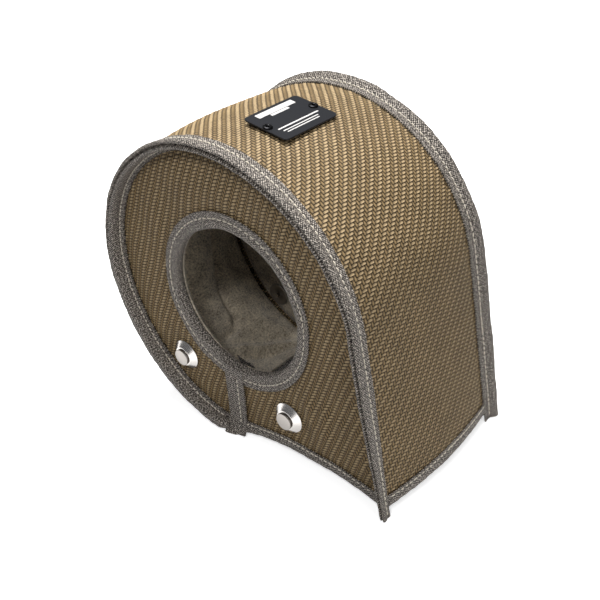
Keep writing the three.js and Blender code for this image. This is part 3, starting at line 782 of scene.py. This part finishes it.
# Turned metal: a profile of (radius, height) pairs, spun about a line through a place
def turned(name, node, profile, origin, out, material, segments=72):
    out = np.array(out, float)
    side_a = np.cross(out, [0.0, 0.0, 1.0] if abs(out[2]) < 0.9 else [0.0, 1.0, 0.0])
    side_a /= np.linalg.norm(side_a)
    side_b = np.cross(out, side_a)
    turn = np.linspace(0, 2 * math.pi, segments, endpoint=False)
    r, h = np.array(profile, float).T
    spun = np.cos(turn)[:, None] * side_a + np.sin(turn)[:, None] * side_b
    points = np.array(origin) + r[:, None, None] * spun + h[:, None, None] * out
    faces = quads(len(r), segments, wrap=True)[:, ::-1]
    obj = finish(name, points, faces, material)
    obj.modifiers.new("edges", "WELD").merge_threshold = 1e-6
    for polygon in obj.data.polygons:
        polygon.use_smooth = True
    obj.data.set_sharp_from_angle(angle=math.radians(35))
    if node:
        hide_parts(node)


for side, hand in (("front", -1), ("back", 1)):
    for place, (x, z) in ANCHORS.items():
        name = f"{side}_{place}_anchor"
        origin, out = (x, hand * FACE_Y, z), (0, hand, 0)
        turned(name + "_post", name + "_post", [
            (0, -16), (1.35, -16), (1.35, 0.4), (9.1, 0.4), (9.35, 0.55), (9.4, 0.8), (9.25, 0.95),
            (8.7, 1.1), (6.2, 3.6), (5.9, 3.72), (4.4, 3.75), (4.3, 3.85), (4.3, 4.3)],
            origin, out, polished)
        turned(name + "_cap", None, [
            (4.3, 4.3), (4.95, 4.3), (5.2, 4.45), (5.2, 5.1), (5.1, 5.28), (4.85, 5.36), (0, 5.42)],
            origin, out, satin)
        turned(name + "_washer", name + "_washer", [
            (1.75, -14.3), (1.75, -13.5), (7.4, -13.5), (7.6, -13.7), (7.6, -14.1), (7.4, -14.3),
            (1.75, -14.3)],
            origin, out, satin)


# Name plate of black anodised aluminium sheet with blank pale printed fields. Its satin black
# shows a soft grey sheen, and two black tubular rivets hold it to the band.
plate_black = new_material("black_anodised_plate", Base_Color=linear("26272B"), Metallic=0.6,
                           Roughness=0.42)[0]
rivet_black = new_material("black_rivet", Base_Color=linear("121214"), Metallic=0.8,
                           Roughness=0.3)[0]
plate_print = new_material("plate_print", Base_Color=linear("D9D6D2"), Roughness=0.5)[0]
TAG_ANGLE = math.radians(81.4)
TAG_Y = -6.5
TAG_LIFT = 0.9
TAG_THICKNESS = 0.8
RIVET_Y = 17.2
tag_s = (BAND_START - TAG_ANGLE + 2 * math.pi) * RADIUS
tag_out = np.array([math.cos(TAG_ANGLE), 0, math.sin(TAG_ANGLE)])
tag_along = np.array([math.sin(TAG_ANGLE), 0, -math.cos(TAG_ANGLE)])
tag_across = np.array([0.0, 1.0, 0.0])
tag_seat = RADIUS - COVER_INSET + swell(tag_s, 0.0) + TAG_LIFT
tag_origin = np.array([0, TAG_Y, RADIUS]) + tag_seat * tag_out


# A point on the plate: w down the slope, l across the band, h out from its underside
def tag_point(w, l, h):
    w, l, h = np.broadcast_arrays(w, l, h)
    return (tag_origin + w[..., None] * tag_along + l[..., None] * tag_across
            + h[..., None] * tag_out)


# Outline of a rectangle with half sizes w and l and corner radius r
def rounded(w, l, r, steps=8):
    points = []
    for quarter, (cw, cl) in enumerate(((1, 1), (-1, 1), (-1, -1), (1, -1))):
        for k in range(steps + 1):
            angle = (quarter + k / steps) * math.pi / 2
            points.append((cw * (w - r) + r * math.cos(angle), cl * (l - r) + r * math.sin(angle)))
    return np.array(points)


# A flat plate with rounded corners and a small bevel
def slab(name, w, l, r, low, high, edge, material, offset=(0, 0)):
    rings = []
    for grow, h in ((-edge, low), (0, low + edge), (0, high - edge), (-edge, high)):
        shape = rounded(w + grow, l + grow, max(r + grow, 0.05)) + offset
        rings.append(tag_point(shape[:, 0], shape[:, 1], h))
    cols = len(rings[0])
    faces = [list(f) for f in quads(4, cols, wrap=True)]
    faces += [list(range(cols))[::-1], list(range(3 * cols, 4 * cols))]
    obj = finish(name, np.stack(rings), faces, material, smooth=False)
    return obj


plate = slab("tag_plate_black", 14.5, 20, 3, 0, TAG_THICKNESS, 0.12, plate_black)
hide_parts("tag_plate")
for index, (w, l, half_w, half_l) in enumerate((
        (-10.6, 0.0, 1.9, 13.5), (-7.4, 0.0, 0.9, 6.5), (5.0, 0.0, 0.5, 15.0), (7.6, -1.0, 0.35, 13.0),
        (9.4, -1.0, 0.35, 12.0))):
    slab(f"tag_print_{index + 1}", half_w, half_l, 0.3, 0.79, 0.83, 0.01, plate_print, (w, l))
for name, l in (("front", -RIVET_Y), ("back", RIVET_Y)):
    turned(f"tag_{name}_rivet_black", f"tag_{name}_rivet", [
        (1.5, -3), (1.5, 0.8), (2.35, 0.85), (2.6, 1.1), (2.55, 1.45), (2.1, 1.75), (1.5, 1.8),
        (1.0, 1.6), (0.85, 1.2), (0.85, 0.2), (0, 0.1)],
        tag_point(0.0, l, 0.0), tag_out, rivet_black, 48)


# Camera as in the photograph, fitted to the blanket's outlines and landmarks
right = (0.75407, 0.65506, -0.04777)
up = (-0.32942, 0.44013, 0.83533)
forward = (-0.56821, 0.61416, -0.54767)
camera = bpy.data.objects.new("camera", bpy.data.cameras.new("camera"))
camera.data.lens = 53.1
camera.data.sensor_width = 36
place = (0.28852, -0.31494, 0.35101)
columns = list(zip(right, up, [-c for c in forward], place))
camera.matrix_world = Matrix([*columns, (0, 0, 0, 1)])
bpy.context.scene.collection.objects.link(camera)
bpy.context.scene.camera = camera


# White studio: a large soft key overhead, slightly to the left and behind, a weaker lamp from
# the right, and a small one near the camera that lights the lining through the opening. The
# world is white to the camera and the floor also in reflections; both are dim for all
# other light, so that they don't wash out the cloth.
DIM_WORLD = 0.2
DIM_FLOOR = 0.2
FLOOR_GLOW = 0.62


def lamp(name, position, target, size, power):
    data = bpy.data.lights.new(name, "AREA")
    data.size = size
    data.energy = power
    lamp_object = bpy.data.objects.new(name, data)
    bpy.context.scene.collection.objects.link(lamp_object)
    lamp_object.location = position
    way = Vector(target) - Vector(position)
    lamp_object.rotation_euler = way.to_track_quat("-Z", "Y").to_euler()


lamp("key", (-0.5, 0.4, 2.6), (0, 0, 0.08), 0.9, 96)
lamp("side", (2.2, -0.5, 0.7), (0, 0, 0.08), 1.2, 16)
lamp("front", (0.28, -0.6, 0.84), (0, 0, 0.09), 0.16, 2.9)

world = bpy.data.worlds.new("studio")
bpy.context.scene.world = world
world.use_nodes = True
tree = world.node_tree
tree.nodes.clear()
rays_seen = add(tree, "LightPath")
soft = add(tree, "Background", {"Color": linear("F2F4F8"), "Strength": DIM_WORLD})
plain = add(tree, "Background", {"Color": (1, 1, 1, 1), "Strength": 1.0})
mixed = add(tree, "MixShader", [rays_seen.outputs["Is Camera Ray"], soft, plain])
add(tree, "OutputWorld", [mixed])

floor_white = bpy.data.materials.new("white_floor")
floor_white.use_nodes = True
tree = floor_white.node_tree
tree.nodes.clear()
rays_seen = add(tree, "LightPath")
camera_or_glossy = [rays_seen.outputs["Is Camera Ray"], rays_seen.outputs["Is Glossy Ray"]]
seen = add(tree, "Math", camera_or_glossy, operation="MAXIMUM")
white = add(tree, "BsdfDiffuse", {"Color": (1, 1, 1, 1)})
glow = add(tree, "Emission", {"Color": (1, 1, 1, 1), "Strength": FLOOR_GLOW})
lit = add(tree, "AddShader", [white, glow])
dim = add(tree, "BsdfDiffuse", {"Color": (DIM_FLOOR, DIM_FLOOR, DIM_FLOOR, 1)})
mixed = add(tree, "MixShader", [seen, dim, lit])
add(tree, "OutputMaterial", [mixed])
bpy.ops.mesh.primitive_plane_add(size=8, location=(0, 0, -0.0004))
floor = bpy.context.object
floor.name = "floor"
floor.data.materials.append(floor_white)
bpy.context.scene.view_settings.view_transform = "Standard"
